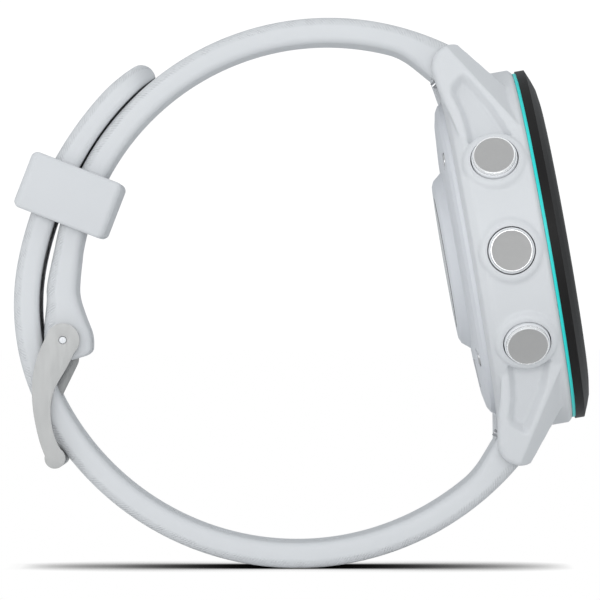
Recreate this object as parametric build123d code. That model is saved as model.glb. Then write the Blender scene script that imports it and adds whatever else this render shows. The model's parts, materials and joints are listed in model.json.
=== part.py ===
from build123d import *
import math
import os

# GPS running watch on its closed strap, worn pose.
# Frame: +X out of the wrist towards the display, +Y along the wrist axis (3 o'clock side),
# +Z up (12 o'clock side). Origin: centre of the wrist opening.

os.makedirs("parts", exist_ok=True)

# ---- case: revolved about the display normal, w along it, zero at the accent ring ----
case_x = 32.48            # accent ring centre, from the wrist centre
case_z = 5.41
case_tilt = 10.0          # display normal above +X, degrees
case_radius = 20.9
case_top = -0.15
case_bottom = -8.95
cavity_radius = 17.7
flange_radius = 17.0      # opening in the top flange
flange_depth = 1.25
rim_radius = 20.4         # accent ring, and the top of the case chamfer
rim_chamfer = 0.45
side_bottom = -7.6        # where the side starts to taper to the back
taper_radius = 20.2
taper_w = -8.55

# ---- lugs and strap pins ----
strap_width = 18.0
strap_narrow = 16.4
strap_thickness = 2.95
strap_gap = 0.25          # strap side to lug, and strap end to case
pin_w = -7.2
pin_u = 22.0
end_radius = 2.1          # strap end round about its pin
end_clearance = 0.35
nose_radius = 2.7
nose_u = 22.05
nose_w = -6.85
nose_top_angle = 39.4     # where the lug's straight edges touch its round nose
nose_low_angle = 260.0
lug_root = (15.8, 13.5)   # side face of a lug in plan: along 3 o'clock, along 12 o'clock
lug_tip = (11.9, 24.9)
lug_facet_normal = (0.38, 0.58, 0.72)
lug_facet_point = (13.3, 21.0, -5.2)
lug_pocket_depth = 1.15
lug_pocket_slope = 32.0   # lean of the pocket's walls, degrees
lug_pocket_round = 0.5
lug_edge = 0.9

# ---- bezel, glass and display ----
accent_top = 0.2
bezel_radius = 20.6
bezel_wall_top = 1.25
glass_radius = 17.25
glass_thickness = 1.25
glass_top = 2.35
glass_stand = 0.05        # glass above the bezel's bore edge
glass_gap = 0.1
ledge_radius = 16.3
gasket_thickness = 0.15
skirt_clearance = 0.05
display_radius = 15.8
display_thickness = 1.2

# ---- inner stack ----
chassis_radius = 17.5
chassis_top = -1.45
chassis_thickness = 0.5
board_radius = 16.3
board_top = -2.0
board_thickness = 0.75
shield_height = 1.2
battery_size = (20.0, 22.0, 4.0)
battery_round = 4.0
battery_top = -4.3
boss_circle = 16.2
boss_radius = 1.5
boss_top = -5.0
boss_angles = (45, 135, 225, 315)
motor_radius = 3.0
motor_u = 14.4
buzzer_radius = 2.8

# ---- back cover and sensor ----
cover_radius = 18.4
cover_clearance = 0.1
cover_seat = -8.3
back_gasket_thickness = 0.2
cover_inner = -9.3
platform_radius = 9.0
platform_w = -11.65
window_radius = 7.7
window_thickness = 0.7
window_ledge = 0.7
well_radius = 8.6
screw_shank = 0.6
screw_head = 1.05
screw_head_height = 0.4
screw_head_w = -10.0
screw_clearance = 0.04
socket_size = (7.2, 3.2)
socket_u = -13.4
socket_face = -9.9
contact_pitch = 1.6
contact_radius = 0.38
port_radius = 0.5
port_u = 13.4

# ---- buttons: s is the distance from the case axis along the button ----
button_w = -4.35
button_names = ("light", "up", "down", "start", "back")
button_angles = (149.6, 180, 210.4, 30.4, 329.6)
button_travel = 0.6
collar_radius = 3.5
collar_stand = 0.25
cap_radius = 2.65
cap_gap = 0.15
cap_face_radius = 2.32
cap_face = 22.05
cap_bevel = 0.4
cap_inner = 20.6
pocket_floor = 19.3
stem_radius = 0.8
stem_clearance = 0.05
stem_end = 17.05
seal_radius = 1.45
seal_depth = 0.75
clip_radius = 1.5
clip_thickness = 0.25
clip_outer = 17.5
button_wire = 0.15
button_coil = 1.95
switch_size = (1.7, 3.2, 1.6)
switch_gap = 0.05

# ---- straps: circles in the X-Z plane ----
upper_centre = (7.3, -0.5)
upper_inner = 29.3
upper_end_angle = 166.0
lower_centre = (3.65, 1.55)
lower_inner = 30.75
lower_end_angle = 208.0
tail_arcs = ((25.1, 10.8), (25.8, 28.2), (38.6, 30.4), (20.0, 15.0))
tail_gap = 0.15           # tail to the strap under it
wide_length = 8.0         # along X from a lug pin, before the strap narrows
taper_length = 12.0
hole_length = 4.3
hole_width = 2.4
hole_pitch = 6.5
holes_to_lug = 6
holes_to_tip = 5
tongue_hole = 0.3         # tongue hole centre, from the end of the lower circle

# ---- buckle ----
buckle_pin = (-23.5, -5.65)
bulb_centre = (-23.75, -5.7)   # thick end of the upper strap, about the pin
pin_radius = 0.42
pin_clearance = 0.05
arm_thickness = 1.6
arm_gap = 0.2
bar_centre = (-24.4, -19.35)
bar_radius = 1.2
bar_notch = 1.2           # depth of the tongue's rest, from the bar's outside
head_radius = 1.95
tongue_width = 1.5
tongue_thickness = 1.1
tongue_eye = 1.45
tongue_side_gap = 0.3

# ---- keeper ----
keeper_angle = 158.85
keeper_length = 6.85
keeper_wall = 2.05
keeper_inner_wall = 2.3   # against the wrist
keeper_clearance = 0.25
keeper_space = 6.85       # across both straps
keeper_round = 0.8

# ---- quick-release spring bars ----
tube_radius = 0.75
tube_bore = 0.5
tube_half = 7.0
bore_clearance = 0.05
tip_radius = 0.5
tip_end = 10.5
lug_hole_depth = 1.55
plunger_radius = 0.45
lever_y = -4.6
lever_radius = 0.4
lever_reach = 2.9
lever_angle = 33.0        # from the case normal towards the middle of the back
lever_travel = 1.3
bar_wire = 0.1

case_plane = Plane(
    origin=(case_x, 0, case_z),
    x_dir=(0, 1, 0),
    z_dir=(math.cos(math.radians(case_tilt)), 0, math.sin(math.radians(case_tilt))),
)


def save(name, shape):
    shape.label = name
    export_step(shape, f"parts/{name}.step")


def place(shape):
    return case_plane.location * shape


def turned(points):
    outline = Polyline(*points, close=True)
    return revolve(Plane.XZ * make_face(outline), Axis.Z)


def ring(inner, outer, low, high):
    return turned([(inner, low), (outer, low), (outer, high), (inner, high)])


def disc(radius, low, high):
    return Pos(0, 0, low) * Cylinder(radius, high - low, align=(Align.CENTER, Align.CENTER, Align.MIN))


def block(width, depth, low, high, x=0.0, y=0.0):
    return Pos(x, y, (low + high) / 2) * Box(width, depth, high - low)


def around(shape, angle):
    return Rot(0, 0, angle) * shape


def along_button(shape, angle):
    # a shape drawn along +Z from the case axis, laid along a button's direction
    return Rot(0, 0, angle) * (Pos(0, 0, button_w) * (Rot(0, 90, 0) * shape))


def polar(centre, radius, angle):
    turn = math.radians(angle)
    return (centre[0] + radius * math.cos(turn), centre[1] + radius * math.sin(turn))


def outline(points):
    # a face whose corners run anticlockwise, so that it extrudes along its plane's normal
    turn = sum(a[0] * b[1] - b[0] * a[1] for a, b in zip(points, points[1:] + points[:1]))
    return Polygon(*(points if turn > 0 else points[::-1]), align=None)


def slab(face, half):
    return extrude(Plane.XZ * face, half, both=True)


def strap_pin(side):
    # row position of a strap pin; side +1 is the 12 o'clock lug
    point = case_plane.location * Pos(0, side * pin_u, pin_w)
    return (point.position.X, point.position.Z)


# ---------------- case housing ----------------
def lug_solid():
    nose = (nose_u, nose_w)
    side = outline([
        (13.0, case_top - 0.1), (20.9, -1.2), polar(nose, nose_radius, nose_top_angle), nose,
        polar(nose, nose_radius, nose_low_angle), (18.4, case_bottom), (17.3, -8.6), (16.0, -8.25),
        (14.5, -7.95), (12.6, -7.62)])
    side += Pos(nose_u, nose_w) * Circle(nose_radius)
    prism = extrude(Plane.YZ * side, 18)
    inner = strap_width / 2 + strap_gap
    plan = outline([(inner, 12.0), (15.0, 12.0), lug_root, lug_tip, (inner, lug_tip[1])])
    lug = prism & extrude(Pos(0, 0, -12) * plan, 14)
    side_face = max(lug.faces(), key=lambda face: face.normal_at().X * face.area)
    rim = [edge for edge in side_face.edges() if edge.center().Y > 19.5]
    lug = fillet(rim, lug_edge)
    facet = Plane(origin=lug_facet_point, z_dir=lug_facet_normal)
    return split(lug, bisect_by=facet, keep=Keep.BOTTOM)


def lug_pocket():
    # a recess in the lug's side face with leaning walls
    run = Vector(lug_tip[0] - lug_root[0], lug_tip[1] - lug_root[1]).normalized()
    inwards = Vector(-run.Y, run.X)
    face = Plane(origin=(*lug_root, 0), x_dir=(run.X, run.Y, 0), z_dir=(inwards.X, inwards.Y, 0))
    corners = [
        (21.3, -6.2), (21.1, -5.75), (20.65, -5.5), (18.8, -4.4), (16.9, -3.3), (14.6, -2.3), (12.6, -1.75),
        (12.6, -6.95), (15.2, -7.1), (17.1, -7.35), (19.2, -8.0), (20.1, -7.7)]
    side = outline([((u - lug_root[1]) / run.Y, -w) for u, w in corners])
    side = fillet(side.vertices().sort_by(Axis.X)[-5:], lug_pocket_round)
    floor = extrude(face * side, lug_pocket_depth, taper=lug_pocket_slope)
    return floor + extrude(face * side, -6)


def case_housing():
    body = turned([
        (0, case_top), (rim_radius, case_top), (case_radius, case_top - rim_chamfer), (case_radius, side_bottom),
        (taper_radius, taper_w), (cover_radius + cover_clearance, case_bottom), (0, case_bottom)])
    lug = lug_solid()
    pocket = lug_pocket()
    for flip_x in (False, True):
        for flip_y in (False, True):
            one = mirror(lug, Plane.YZ) if flip_x else lug
            cut = mirror(pocket, Plane.YZ) if flip_x else pocket
            one = mirror(one, Plane.XZ) if flip_y else one
            cut = mirror(cut, Plane.XZ) if flip_y else cut
            body += one
            body -= cut
    for angle in button_angles:
        body += along_button(disc(collar_radius, cavity_radius, case_radius + collar_stand), angle)
    body -= disc(cavity_radius, case_bottom - 1, case_top - flange_depth)
    body -= disc(flange_radius, case_bottom, case_top + 1)
    body -= disc(cover_radius + cover_clearance, case_bottom - 1, cover_seat)
    for angle in boss_angles:
        web = boss_circle + cavity_radius + 0.3
        boss = Pos(boss_circle, 0, 0) * disc(boss_radius, cover_inner, boss_top)
        boss += block(cavity_radius + 0.3 - boss_circle, 2 * boss_radius, cover_seat, boss_top, web / 2)
        body += around(boss, angle)
        screw_hole = disc(screw_shank + screw_clearance, cover_inner - 1, boss_top - 0.5)
        body -= around(Pos(boss_circle, 0, 0) * screw_hole, angle)
    for angle in button_angles:
        body -= along_button(disc(cap_radius + cap_gap, pocket_floor, case_radius + 2), angle)
        body -= along_button(disc(seal_radius + 0.02, pocket_floor - seal_depth, pocket_floor + 1), angle)
        body -= along_button(disc(stem_radius + stem_clearance, cavity_radius - 1, pocket_floor), angle)
    inner = strap_width / 2 + strap_gap
    for side in (-1, 1):
        recess = Rot(0, 90, 0) * Cylinder(end_radius + end_clearance, 2 * inner)
        hole = Rot(0, 90, 0) * Cylinder(tip_radius + bore_clearance, 2 * (inner + lug_hole_depth))
        body -= Pos(0, side * pin_u, pin_w) * recess
        body -= Pos(0, side * pin_u, pin_w) * hole
    return body


# ---------------- front ----------------
def bezel():
    skirt = flange_radius - skirt_clearance
    bore = glass_radius + glass_gap
    ledge = glass_top - glass_thickness - gasket_thickness
    return turned([
        (ledge_radius, case_top - 1.0), (skirt, case_top - 1.0), (skirt, accent_top),
        (bezel_radius, accent_top), (bezel_radius, bezel_wall_top), (19.3, glass_top - 0.55),
        (18.3, glass_top - 0.2), (bore, glass_top - glass_stand), (bore, ledge), (ledge_radius, ledge)])


def display_lens():
    lens = disc(glass_radius, glass_top - glass_thickness, glass_top)
    return chamfer(lens.edges().group_by(Axis.Z)[-1], 0.2)


def front_parts():
    low = glass_top - glass_thickness
    save("accent_ring", place(ring(flange_radius, rim_radius, case_top, accent_top)))
    save("bezel", place(bezel()))
    save("display_lens", place(display_lens()))
    save("lens_gasket", place(ring(ledge_radius, glass_radius, low - gasket_thickness, low)))
    save("display_module", place(disc(display_radius, low - display_thickness, low)))


# ---------------- inner stack ----------------
def chassis():
    low = chassis_top - chassis_thickness
    display_low = glass_top - glass_thickness - display_thickness
    plate = disc(chassis_radius, low, chassis_top) + ring(14.6, 15.6, chassis_top, display_low)
    plate -= block(8.6, 1.0, low - 1, chassis_top + 3, 0, -13.0)
    for x in (-6.5, 6.5):
        plate -= block(7.0, 12.0, low - 1, chassis_top + 1, x, 2.0)
    return plate


def main_board():
    low = board_top - board_thickness
    board = disc(board_radius, low, board_top)
    board -= block(9.0, 2.0, low - 1, board_top + 1, 0, board_radius)
    return board


def battery():
    width, depth, height = battery_size
    cell = block(width, depth, battery_top - height, battery_top)
    return fillet(cell.edges().filter_by(Axis.Z), battery_round)


def display_flex():
    top = glass_top - glass_thickness - display_thickness
    return block(7.6, 0.2, board_top, top, 0, -13.0) + block(7.6, 2.6, board_top, board_top + 0.04, 0, -11.7)


def switches():
    depth, width, height = switch_size
    face = stem_end - button_travel - switch_gap
    body = block(height, width, face - depth, face)
    return Compound([along_button(body, angle) for angle in button_angles])


def stack_parts():
    board_low = board_top - board_thickness
    save("chassis", place(chassis()))
    save("main_board", place(main_board()))
    cans = [block(11, 8, board_low - shield_height, board_low, 4.5, 5.5),
            block(8, 8, board_low - shield_height, board_low, -6.5, -4.0)]
    save("shield_cans", place(Compound(cans)))
    save("battery", place(battery()))
    save("vibration_motor", place(Pos(0, motor_u, 0) * disc(motor_radius, -7.2, -4.8)))
    save("buzzer", place(Pos(0, -motor_u, 0) * disc(buzzer_radius, -5.6, -4.6)))
    band = ring(chassis_radius - 0.4, chassis_radius, -4.5, board_low - 0.3)
    save("antenna", place(band & block(17, 10, -5, 0, 0, chassis_radius - 2)))
    save("side_switches", place(switches()))
    save("display_flex", place(display_flex()))


# ---------------- back ----------------
def back_cover():
    seat = cover_seat - back_gasket_thickness
    window_low = platform_w - 0.05
    ledge = window_low + window_thickness
    cover = turned([
        (cavity_radius - 0.7, seat), (cover_radius, seat), (cover_radius, case_bottom), (18.2, -9.4),
        (17.5, -9.8), (16.0, -10.1), (13.0, -10.3), (10.5, -10.35), (10.1, -10.8),
        (platform_radius + 0.6, -11.4), (platform_radius, platform_w), (window_radius + 0.05, platform_w),
        (window_radius + 0.05, ledge), (window_radius - window_ledge, ledge),
        (window_radius - window_ledge, ledge + 0.4), (well_radius, ledge + 0.4),
        (well_radius, cover_inner), (cavity_radius - 0.7, cover_inner)])
    for angle in boss_angles:
        cover -= around(Pos(boss_circle, 0, 0) * disc(boss_radius + cover_clearance, cover_inner, -8), angle)
        cover -= around(Pos(boss_circle, 0, 0) * disc(screw_shank + screw_clearance, -12, -8), angle)
        head = disc(screw_head + screw_clearance, -12, screw_head_w + screw_head_height)
        cover -= around(Pos(boss_circle, 0, 0) * head, angle)
    cover -= block(socket_size[0] + 0.1, socket_size[1] + 0.1, -12, -8, 0, socket_u)
    cover -= Pos(0, port_u, 0) * disc(port_radius, -12, -8)
    return cover


def screw():
    body = disc(screw_head, screw_head_w, screw_head_w + screw_head_height)
    body += disc(screw_shank, screw_head_w, boss_top - 0.9)
    return body - extrude(Pos(0, 0, screw_head_w) * RegularPolygon(0.5, 6), 0.3)


def sensor_parts():
    ledge = platform_w - 0.05 + window_thickness
    board_low = cover_inner - 0.6
    save("sensor_lens", place(disc(window_radius, platform_w - 0.05, ledge)))
    save("sensor_board", place(disc(well_radius - 0.2, board_low, cover_inner)))
    chip = block(1.3, 1.3, board_low - 0.5, board_low)
    leds = [around(Pos(1.6, 0, 0) * chip, angle) for angle in (30, 150, 270)]
    save("sensor_leds", place(Compound(leds)))
    diode = block(2.2, 2.2, board_low - 0.5, board_low)
    diodes = [around(Pos(4.9, 0, 0) * diode, angle) for angle in (0, 90, 180, 270)]
    save("photodiodes", place(Compound(diodes)))
    baffle = ring(3.0, 3.4, board_low - 0.65, board_low) + ring(3.3, 6.9, board_low - 0.65, board_low - 0.55)
    save("sensor_baffle", place(baffle))


def back_parts():
    seat = cover_seat - back_gasket_thickness
    save("back_cover", place(back_cover()))
    save("back_gasket", place(ring(cavity_radius + 0.05, cover_radius, seat, cover_seat)))
    screws = [around(Pos(boss_circle, 0, 0) * screw(), angle) for angle in boss_angles]
    save("back_screws", place(Compound(screws)))
    sensor_parts()
    socket = block(socket_size[0], socket_size[1], socket_face, cover_inner + 0.4, 0, socket_u)
    pins = []
    for index in range(4):
        x = (index - 1.5) * contact_pitch
        socket -= Pos(x, socket_u, 0) * disc(contact_radius + 0.01, -12, -8)
        pins.append(Pos(x, socket_u, 0) * disc(contact_radius, socket_face - 0.1, cover_inner + 0.6))
    save("charge_socket", place(socket))
    save("charge_contacts", place(Compound(pins)))
    save("vent_membrane", place(Pos(0, port_u, 0) * disc(port_radius + 0.7, cover_inner, cover_inner + 0.15)))


# ---------------- buttons ----------------
def button_cap():
    cap = disc(cap_radius, cap_inner, cap_face - cap_bevel)
    cap += Pos(0, 0, cap_face - cap_bevel) * Cone(
        cap_radius, cap_face_radius, cap_bevel, align=(Align.CENTER, Align.CENTER, Align.MIN))
    return cap + disc(stem_radius, stem_end, cap_inner)


def coil(radius, wire, low, high, turns):
    pitch = (high - low - 2 * wire) / turns
    path = Helix(pitch, pitch * turns, radius)
    start = Plane(origin=path @ 0, z_dir=path % 0)
    return Pos(0, 0, low + wire) * sweep(start * Circle(wire), path)


def button_parts():
    for name, angle in zip(button_names, button_angles):
        save(f"{name}_button_cap", place(along_button(button_cap(), angle)))
        seal = ring(stem_radius + stem_clearance, seal_radius, pocket_floor - seal_depth, pocket_floor - 0.15)
        save(f"{name}_button_seal", place(along_button(seal, angle)))
        clip = ring(stem_radius, clip_radius, clip_outer - clip_thickness, clip_outer)
        clip -= block(3, 0.9, clip_outer - 1, clip_outer + 1, 1.5 + stem_radius * 0.8)
        save(f"{name}_button_clip", place(along_button(clip, angle)))
        spring = coil(button_coil, button_wire, pocket_floor, cap_inner, 3)
        save(f"{name}_button_spring", place(along_button(spring, angle)))


# ---------------- straps ----------------
def band(centre, middle, start, sweep_angle):
    outer = CenterArc(centre, middle + strap_thickness / 2, start, sweep_angle)
    inner = CenterArc(centre, middle - strap_thickness / 2, start, sweep_angle)
    return make_face(outer + inner + Line(outer @ 0, inner @ 0) + Line(outer @ 1, inner @ 1))


def angle_of(point, centre):
    return math.degrees(math.atan2(point[1] - centre[1], point[0] - centre[0])) % 360


def strap_end(pin, centre, inner, away):
    # round about the pin, faired into the strap's inner face a little way along
    blend = polar(centre, inner + 0.3, angle_of(pin, centre) + away * 14)
    outer = polar(centre, inner + strap_thickness, angle_of(pin, centre) + away * 14)
    gap = Vector(blend[0] - pin[0], blend[1] - pin[1])
    lean = math.degrees(math.acos(end_radius / gap.length))
    touch = polar(pin, end_radius, math.degrees(math.atan2(gap.Y, gap.X)) + away * lean)
    top = polar(centre, inner + strap_thickness, angle_of(pin, centre))
    return Pos(*pin) * Circle(end_radius) + outline([touch, blend, outer, top, pin])


def strap_plan(pin_x):
    wide = strap_width / 2
    slim = strap_narrow / 2
    first = pin_x - wide_length
    last = first - taper_length
    plan = outline([
        (60, wide), (first, wide), (last, slim), (-60, slim), (-60, -slim), (last, -slim),
        (first, -wide), (60, -wide)])
    return extrude(Pos(0, 0, -60) * plan, 120)


def across(radius, half, point):
    return Pos(point[0], 0, point[1]) * (Rot(90, 0, 0) * Cylinder(radius, 2 * half))


def lever_slot(side):
    width = 2 * lever_radius + 0.5
    length = lever_travel + 2 * lever_radius + 0.8
    low = lever_y - lever_radius - 0.4
    cut = Pos(low + length / 2, 0, -2) * Box(length, width, 4)
    cut = Rot(-side * lever_angle, 0, 0) * cut
    return place(Pos(0, side * pin_u, pin_w) * cut)


def buckle_end():
    # the strap thickens inwards round the buckle pin
    x, z = bulb_centre
    outer = polar(upper_centre, upper_inner + strap_thickness, upper_end_angle)
    inner = polar(upper_centre, upper_inner, upper_end_angle)
    rim = Polyline(
        outer, (x - 1.6, z + 4.7), (x - 1.9, z + 1.5), (x - 1.92, z - 0.4), (x - 1.2, z - 1.9),
        (x + 2.4, z - 2.15), (x + 3.2, z - 1.4), (x + 3.5, z + 0.2), (x + 3.15, z + 1.4), (x + 1.9, z + 4.7),
        (x + 1.75, z + 6.2), (x + 1.85, z + 7.8), inner, close=True)
    return make_face(rim)


def buckle_strap():
    pin = strap_pin(1)
    start = angle_of(pin, upper_centre)
    middle = upper_inner + strap_thickness / 2
    face = band(upper_centre, middle, start, upper_end_angle - start)
    face += strap_end(pin, upper_centre, upper_inner, 1)
    face += buckle_end()
    strap = slab(face, strap_width) & strap_plan(pin[0])
    strap -= across(tube_radius + bore_clearance, strap_width, pin)
    strap -= lever_slot(1)
    strap -= across(pin_radius + pin_clearance, strap_width, buckle_pin)
    slot = tongue_width / 2 + tongue_side_gap
    strap -= across(tongue_eye + 0.45, slot, buckle_pin)
    sweep_space = outline([(-8, -8), (8, -8), (5, 1.0), (0, 1.9), (-5, 0.9)])
    strap -= slab(Pos(*buckle_pin) * sweep_space, slot)
    return strap


def tail_runs():
    # tangent arcs from the end of the lower circle: centre, radius, start angle, sweep
    radius = lower_inner + strap_thickness / 2
    point = polar(lower_centre, radius, lower_end_angle)
    runs = [(lower_centre, radius, lower_end_angle, 0.0)]
    angle = lower_end_angle
    for bend, turn in tail_arcs:
        centre = polar(point, -bend, angle)
        runs.append((centre, bend, angle, -turn))
        angle -= turn
        point = polar(centre, bend, angle)
    return runs[1:]


def strap_place(length):
    # point and outward angle on the lower strap's middle line; zero at the end of its circle
    radius = lower_inner + strap_thickness / 2
    if length <= 0:
        angle = lower_end_angle - math.degrees(length / radius)
        return polar(lower_centre, radius, angle), angle
    for centre, bend, start, turn in tail_runs():
        run = bend * math.radians(-turn)
        if length <= run:
            angle = start - math.degrees(length / bend)
            return polar(centre, bend, angle), angle
        length -= run
    return polar(centre, bend, start + turn), start + turn


def strap_hole(length):
    point, angle = strap_place(length)
    cut = SlotOverall(hole_length, hole_width)
    cut = extrude(Rot(0, 0, 90) * cut, strap_thickness, both=True)
    return Pos(point[0], 0, point[1]) * (Rot(0, 90 - angle, 0) * (Rot(0, 0, 90) * cut))


def hole_strap():
    pin = strap_pin(-1)
    start = angle_of(pin, lower_centre)
    middle = lower_inner + strap_thickness / 2
    face = band(lower_centre, middle, start, lower_end_angle - start)
    face += strap_end(pin, lower_centre, lower_inner, -1)
    # the tail's last stretch is thinned where it lies over the other strap
    under = Pos(*upper_centre) * Circle(upper_inner + strap_thickness + tail_gap)
    for index, (centre, bend, angle, turn) in enumerate(tail_runs()):
        stretch = band(centre, bend, angle, turn)
        face += stretch - under if index > 1 else stretch
    tip = polar(centre, bend, angle + turn)
    face += Pos(*tip) * Circle(strap_thickness / 2) - under
    strap = slab(face, strap_width) & strap_plan(pin[0])
    strap -= across(tube_radius + bore_clearance, strap_width, pin)
    strap -= lever_slot(-1)
    for index in range(-holes_to_lug, holes_to_tip + 1):
        strap -= strap_hole(tongue_hole + index * hole_pitch)
    return strap


def strap_keeper():
    low = upper_inner - keeper_clearance - keeper_inner_wall
    high = upper_inner - keeper_clearance + keeper_space + keeper_wall
    middle = upper_inner - keeper_clearance + keeper_space / 2
    half = strap_narrow / 2 + keeper_clearance
    outer = Box(high - low, 2 * half + 2 * keeper_wall, keeper_length)
    outer = fillet(outer.edges().filter_by(Axis.Z) + outer.edges().filter_by(Axis.Y), keeper_round)
    loop = Pos((low + high) / 2, 0, 0) * outer
    loop -= Pos(middle, 0, 0) * Box(keeper_space, 2 * half, 2 * keeper_length)
    return Pos(upper_centre[0], 0, upper_centre[1]) * (Rot(0, -keeper_angle, 0) * loop)


# ---------------- buckle ----------------
def frame_side():
    outer = Spline(
        (-25.15, -4.75), (-26.35, -7.35), (-26.87, -9.27), (-27.07, -11.63), (-26.94, -13.71),
        (-26.58, -15.78), (-25.99, -17.99), (-25.5, -19.2))
    inner = Spline(
        (-23.25, -19.0), (-24.1, -17.69), (-24.58, -16.37), (-24.86, -14.9), (-24.9, -13.6), (-24.75, -12.3),
        (-24.3, -11.0), (-23.39, -9.42), (-22.51, -7.8), (-21.75, -6.2))
    face = make_face(outer + Line(outer @ 1, inner @ 0) + inner + Line(inner @ 1, outer @ 0))
    face += Pos(*buckle_pin) * Circle(head_radius)
    return face + Pos(*bar_centre) * Circle(bar_radius)


def buckle_frame():
    inner = strap_narrow / 2 + arm_gap
    arms = slab(frame_side(), inner + arm_thickness) - slab(Rectangle(200, 200), inner)
    bar = across(bar_radius, inner + arm_thickness, bar_centre)
    rest = tongue_width / 2 + tongue_side_gap
    notch_x = bar_centre[0] - bar_radius + bar_notch / 2
    notch = Pos(notch_x, 0, bar_centre[1]) * Box(bar_notch, 2 * rest, 3 * bar_radius)
    return arms + (bar - notch) - across(pin_radius + pin_clearance, strap_width, buckle_pin)


def buckle_tongue():
    x, z = buckle_pin
    path = FilletPolyline(
        (x + 0.85, z - 0.2), (x + 1.1, z - 2.4), (x - 2.6, z - 9.95), (x - 1.45, z - 14.4), radius=1.2)
    blade = trace(path, tongue_thickness)
    face = blade + Pos(*buckle_pin) * Circle(tongue_eye)
    return slab(face, tongue_width / 2) - across(pin_radius + pin_clearance, strap_width, buckle_pin)


def buckle_parts():
    save("buckle_strap", buckle_strap())
    save("hole_strap", hole_strap())
    save("strap_keeper", strap_keeper())
    save("buckle_frame", buckle_frame())
    save("buckle_tongue", buckle_tongue())
    save("buckle_pin", across(pin_radius, strap_narrow / 2 + arm_gap + arm_thickness, buckle_pin))


# ---------------- spring bars ----------------
def along_bar(low, high, radius):
    return Rot(0, 90, 0) * disc(radius, low, high)


def bar_parts():
    for name, side in (("upper", 1), ("lower", -1)):
        pin = Pos(0, side * pin_u, pin_w)
        tube = along_bar(-tube_half, tube_half, tube_radius)
        tube -= along_bar(-tube_half - 1, tube_half - 1, tube_bore)
        length = lever_travel + 2 * lever_radius + 0.4
        window_y = lever_y - lever_radius - 0.2 + length / 2
        window = Pos(window_y, 0, -1) * Box(length, 2 * lever_radius + 0.1, 2)
        tube -= Rot(-side * lever_angle, 0, 0) * window
        save(f"{name}_bar_tube", place(pin * tube))
        save(f"{name}_bar_tip", place(pin * along_bar(tube_half, tip_end, tip_radius)))
        plunger_end = lever_y + lever_radius + 0.3
        rod = along_bar(-tip_end, plunger_end, plunger_radius)
        post = Pos(lever_y, 0, -lever_reach) * Cylinder(
            lever_radius, lever_reach, align=(Align.CENTER, Align.CENTER, Align.MIN))
        save(f"{name}_bar_lever", place(pin * (rod + Rot(-side * lever_angle, 0, 0) * post)))
        spring = Rot(0, 90, 0) * coil(tube_bore - 0.04 - bar_wire, bar_wire, plunger_end, tube_half - 1, 12)
        save(f"{name}_bar_spring", place(pin * spring))


save("case_housing", place(case_housing()))
front_parts()
stack_parts()
back_parts()
button_parts()
buckle_parts()
bar_parts()
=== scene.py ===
import bpy
import bmesh
import json
import math
from mathutils import Matrix, Vector


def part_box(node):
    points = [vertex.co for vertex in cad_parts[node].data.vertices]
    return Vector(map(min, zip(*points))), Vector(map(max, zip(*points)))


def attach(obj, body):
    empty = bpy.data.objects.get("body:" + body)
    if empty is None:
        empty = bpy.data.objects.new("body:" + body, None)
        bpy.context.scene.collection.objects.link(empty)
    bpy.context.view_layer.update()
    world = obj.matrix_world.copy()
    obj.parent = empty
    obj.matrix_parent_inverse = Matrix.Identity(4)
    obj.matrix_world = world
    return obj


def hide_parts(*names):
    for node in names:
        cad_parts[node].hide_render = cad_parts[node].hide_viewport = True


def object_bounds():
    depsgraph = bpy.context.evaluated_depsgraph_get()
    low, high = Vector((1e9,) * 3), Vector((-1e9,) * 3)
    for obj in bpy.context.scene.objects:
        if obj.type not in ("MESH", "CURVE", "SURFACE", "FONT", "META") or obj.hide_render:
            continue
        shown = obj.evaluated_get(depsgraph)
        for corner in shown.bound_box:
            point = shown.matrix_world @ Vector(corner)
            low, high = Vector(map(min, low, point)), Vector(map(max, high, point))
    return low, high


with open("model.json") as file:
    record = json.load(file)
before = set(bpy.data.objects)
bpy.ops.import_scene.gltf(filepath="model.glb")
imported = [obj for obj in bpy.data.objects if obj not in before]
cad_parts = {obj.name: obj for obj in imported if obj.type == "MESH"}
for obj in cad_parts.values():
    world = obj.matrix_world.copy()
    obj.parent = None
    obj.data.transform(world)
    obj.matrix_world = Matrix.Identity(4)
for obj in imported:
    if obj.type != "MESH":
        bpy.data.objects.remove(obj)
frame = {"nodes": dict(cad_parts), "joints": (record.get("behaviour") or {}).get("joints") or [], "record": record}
cadLow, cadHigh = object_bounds()
mm = 0.001
nodes = frame["nodes"]
joints = {joint["name"]: joint for joint in frame["joints"]}
mounts = {mount["name"]: mount for mount in frame["record"]["mounts"]}

# the case's own axes: x to 3 o'clock, y to 12 o'clock, z out of the display
glassTop = 2.35
displayNormal = Vector(mounts["display_face"]["axis"]).normalized()
caseOrigin = Vector(mounts["display_face"]["pos_m"]) - displayNormal * glassTop * mm
towardsTwelve = displayNormal.cross(Vector((0, 1, 0)))
casePlace = Matrix.Translation(caseOrigin) @ Matrix((
    (0, towardsTwelve.x, displayNormal.x),
    (1, towardsTwelve.y, displayNormal.y),
    (0, towardsTwelve.z, displayNormal.z))).to_4x4()
upperPin = Vector(joints["buckle_strap_open"]["pos_m"])
lowerPin = Vector(joints["hole_strap_open"]["pos_m"])
upperCentre = Vector(joints["keeper_slide"]["pos_m"])
bucklePin = Vector(joints["buckle_frame_swing"]["pos_m"])


# shader helpers
def newMaterial(name, colour, roughness, metallic=0.0):
    material = bpy.data.materials.new(name)
    material.use_nodes = True
    shader = material.node_tree.nodes["Principled BSDF"]
    shader.inputs["Base Color"].default_value = (*colour, 1)
    shader.inputs["Roughness"].default_value = roughness
    shader.inputs["Metallic"].default_value = metallic
    return material, material.node_tree, shader


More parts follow.
